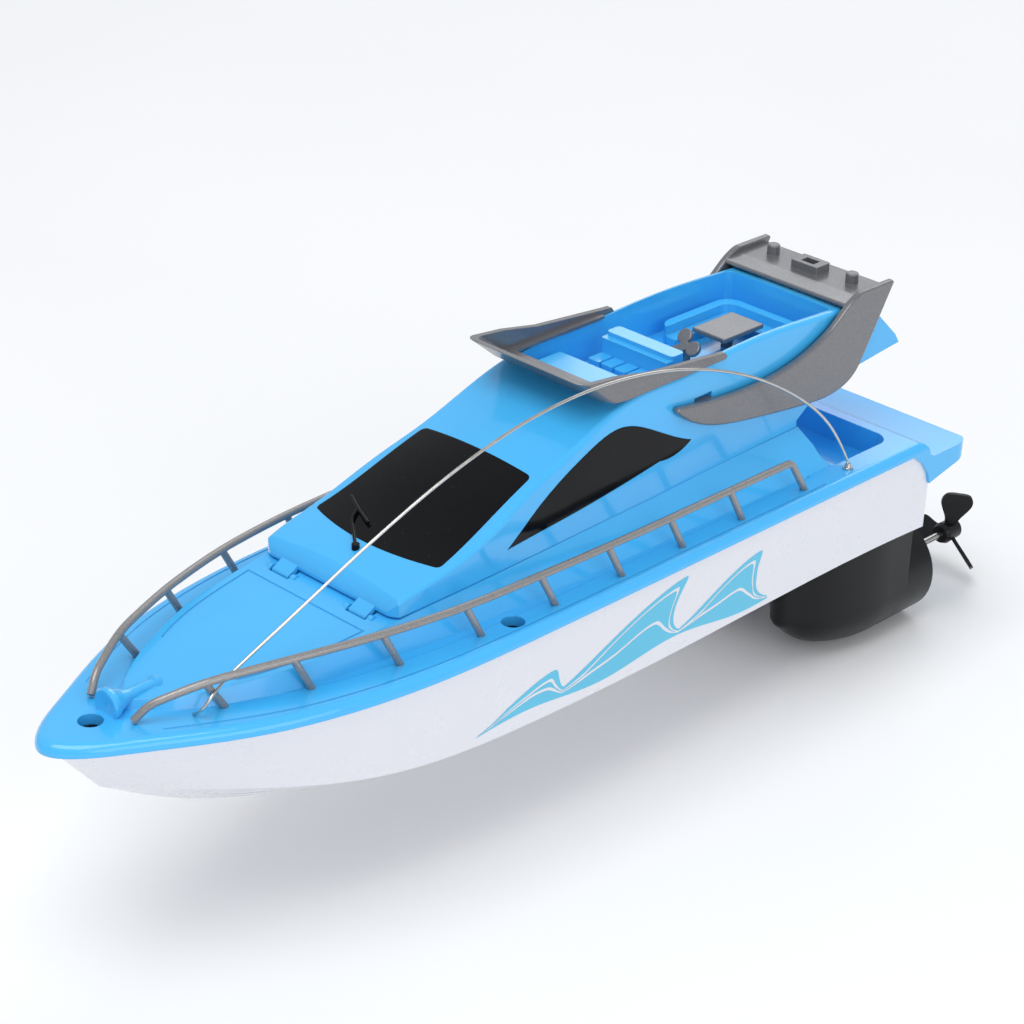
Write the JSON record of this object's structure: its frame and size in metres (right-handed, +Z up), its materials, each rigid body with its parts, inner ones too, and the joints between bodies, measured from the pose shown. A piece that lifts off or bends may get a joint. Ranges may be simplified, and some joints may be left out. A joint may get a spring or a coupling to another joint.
{
  "type": "radio controlled toy boat",
  "caption": "Cabin cruiser toy boat with raised flybridge, tilting cabin cover, wire antenna and underslung twin propeller pods.",
  "frame": {"origin": "middle of the boat's length and width, at the height of the lowest point of the two motor pods, which stand on the floor", "axes": "+X towards the bow, +Y towards port, +Z up; the deck lies level"},
  "size_m": [0.322, 0.078, 0.1146],
  "materials": {
    "hull_plastic": "moulded, semi gloss",
    "blue_plastic": "moulded, glossy",
    "grey_plastic": "moulded, glossy, metallic grey",
    "window_plastic": "polished black",
    "black_plastic": "moulded, satin",
    "white_plastic": "moulded",
    "steel": "drawn wire, nickel plated",
    "motor_steel": "zinc plated",
    "bronze": "sintered",
    "seal_rubber": "greased rubber",
    "copper": "wound, lacquered",
    "cell_wrap": "printed sleeve without lettering",
    "board_green": "solder mask",
    "chip_black": "epoxy",
    "wire_red": "PVC sleeve",
    "wire_black": "PVC sleeve"
  },
  "bodies": {
    "root": {"antenna_ferrule": "steel", "antenna_lead": "wire_black", "antenna_wire": "steel", "battery_cells": "cell_wrap", "battery_contacts": "motor_steel", "battery_leads": "wire_red", "battery_tray": "black_plastic", "board_components": "chip_black", "board_screws": "motor_steel", "circuit_board": "board_green", "deck": "blue_plastic", "hull": "hull_plastic", "hull_screws": "motor_steel", "motor_can_port": "motor_steel", "motor_can_starboard": "motor_steel", "motor_end_cap_port": "white_plastic", "motor_end_cap_starboard": "white_plastic", "motor_leads_port": "wire_red", "motor_leads_starboard": "wire_red", "motor_pod_port": "black_plastic", "motor_pod_starboard": "black_plastic", "pod_cap_port": "black_plastic", "pod_cap_starboard": "black_plastic", "pod_screws": "motor_steel", "rail_port": "grey_plastic", "rail_starboard": "grey_plastic", "shaft_bush_port": "bronze", "shaft_bush_starboard": "bronze", "shaft_seal_port": "seal_rubber", "shaft_seal_starboard": "seal_rubber", "switch_body": "black_plastic", "switch_leads": "wire_red"},
    "cabin": {"cabin_cover": "blue_plastic", "windscreen": "window_plastic", "side_window_port": "window_plastic", "side_window_starboard": "window_plastic", "flybridge_visor": "grey_plastic", "radar_arch": "grey_plastic", "helm_wheel": "grey_plastic", "flybridge_table": "grey_plastic"},
    "port_drive": {"propeller_port": "black_plastic", "motor_shaft_port": "motor_steel", "motor_rotor_port": "copper"},
    "starboard_drive": {"propeller_starboard": "black_plastic", "motor_shaft_starboard": "motor_steel", "motor_rotor_starboard": "copper"},
    "switch_slider": {"switch_knob": "white_plastic"}
  },
  "joints": [
    {"name": "cabin_hinge", "type": "hinge", "parent": "root", "child": "cabin", "pos_m": [0.0766, 0, 0.0707], "axis": [0, 1, 0], "range_deg": [0, 25]},
    {"name": "port_propeller_spin", "type": "hinge", "parent": "root", "child": "port_drive", "pos_m": [-0.139, 0.0205, 0.0146], "axis": [1, 0, 0], "continuous": true},
    {"name": "starboard_propeller_spin", "type": "hinge", "parent": "root", "child": "starboard_drive", "pos_m": [-0.139, -0.0205, 0.0146], "axis": [1, 0, 0], "continuous": true},
    {"name": "power_switch_slide", "type": "slide", "parent": "root", "child": "switch_slider", "axis": [1, 0, 0], "range_m": [0, 0.003]}
  ]
}
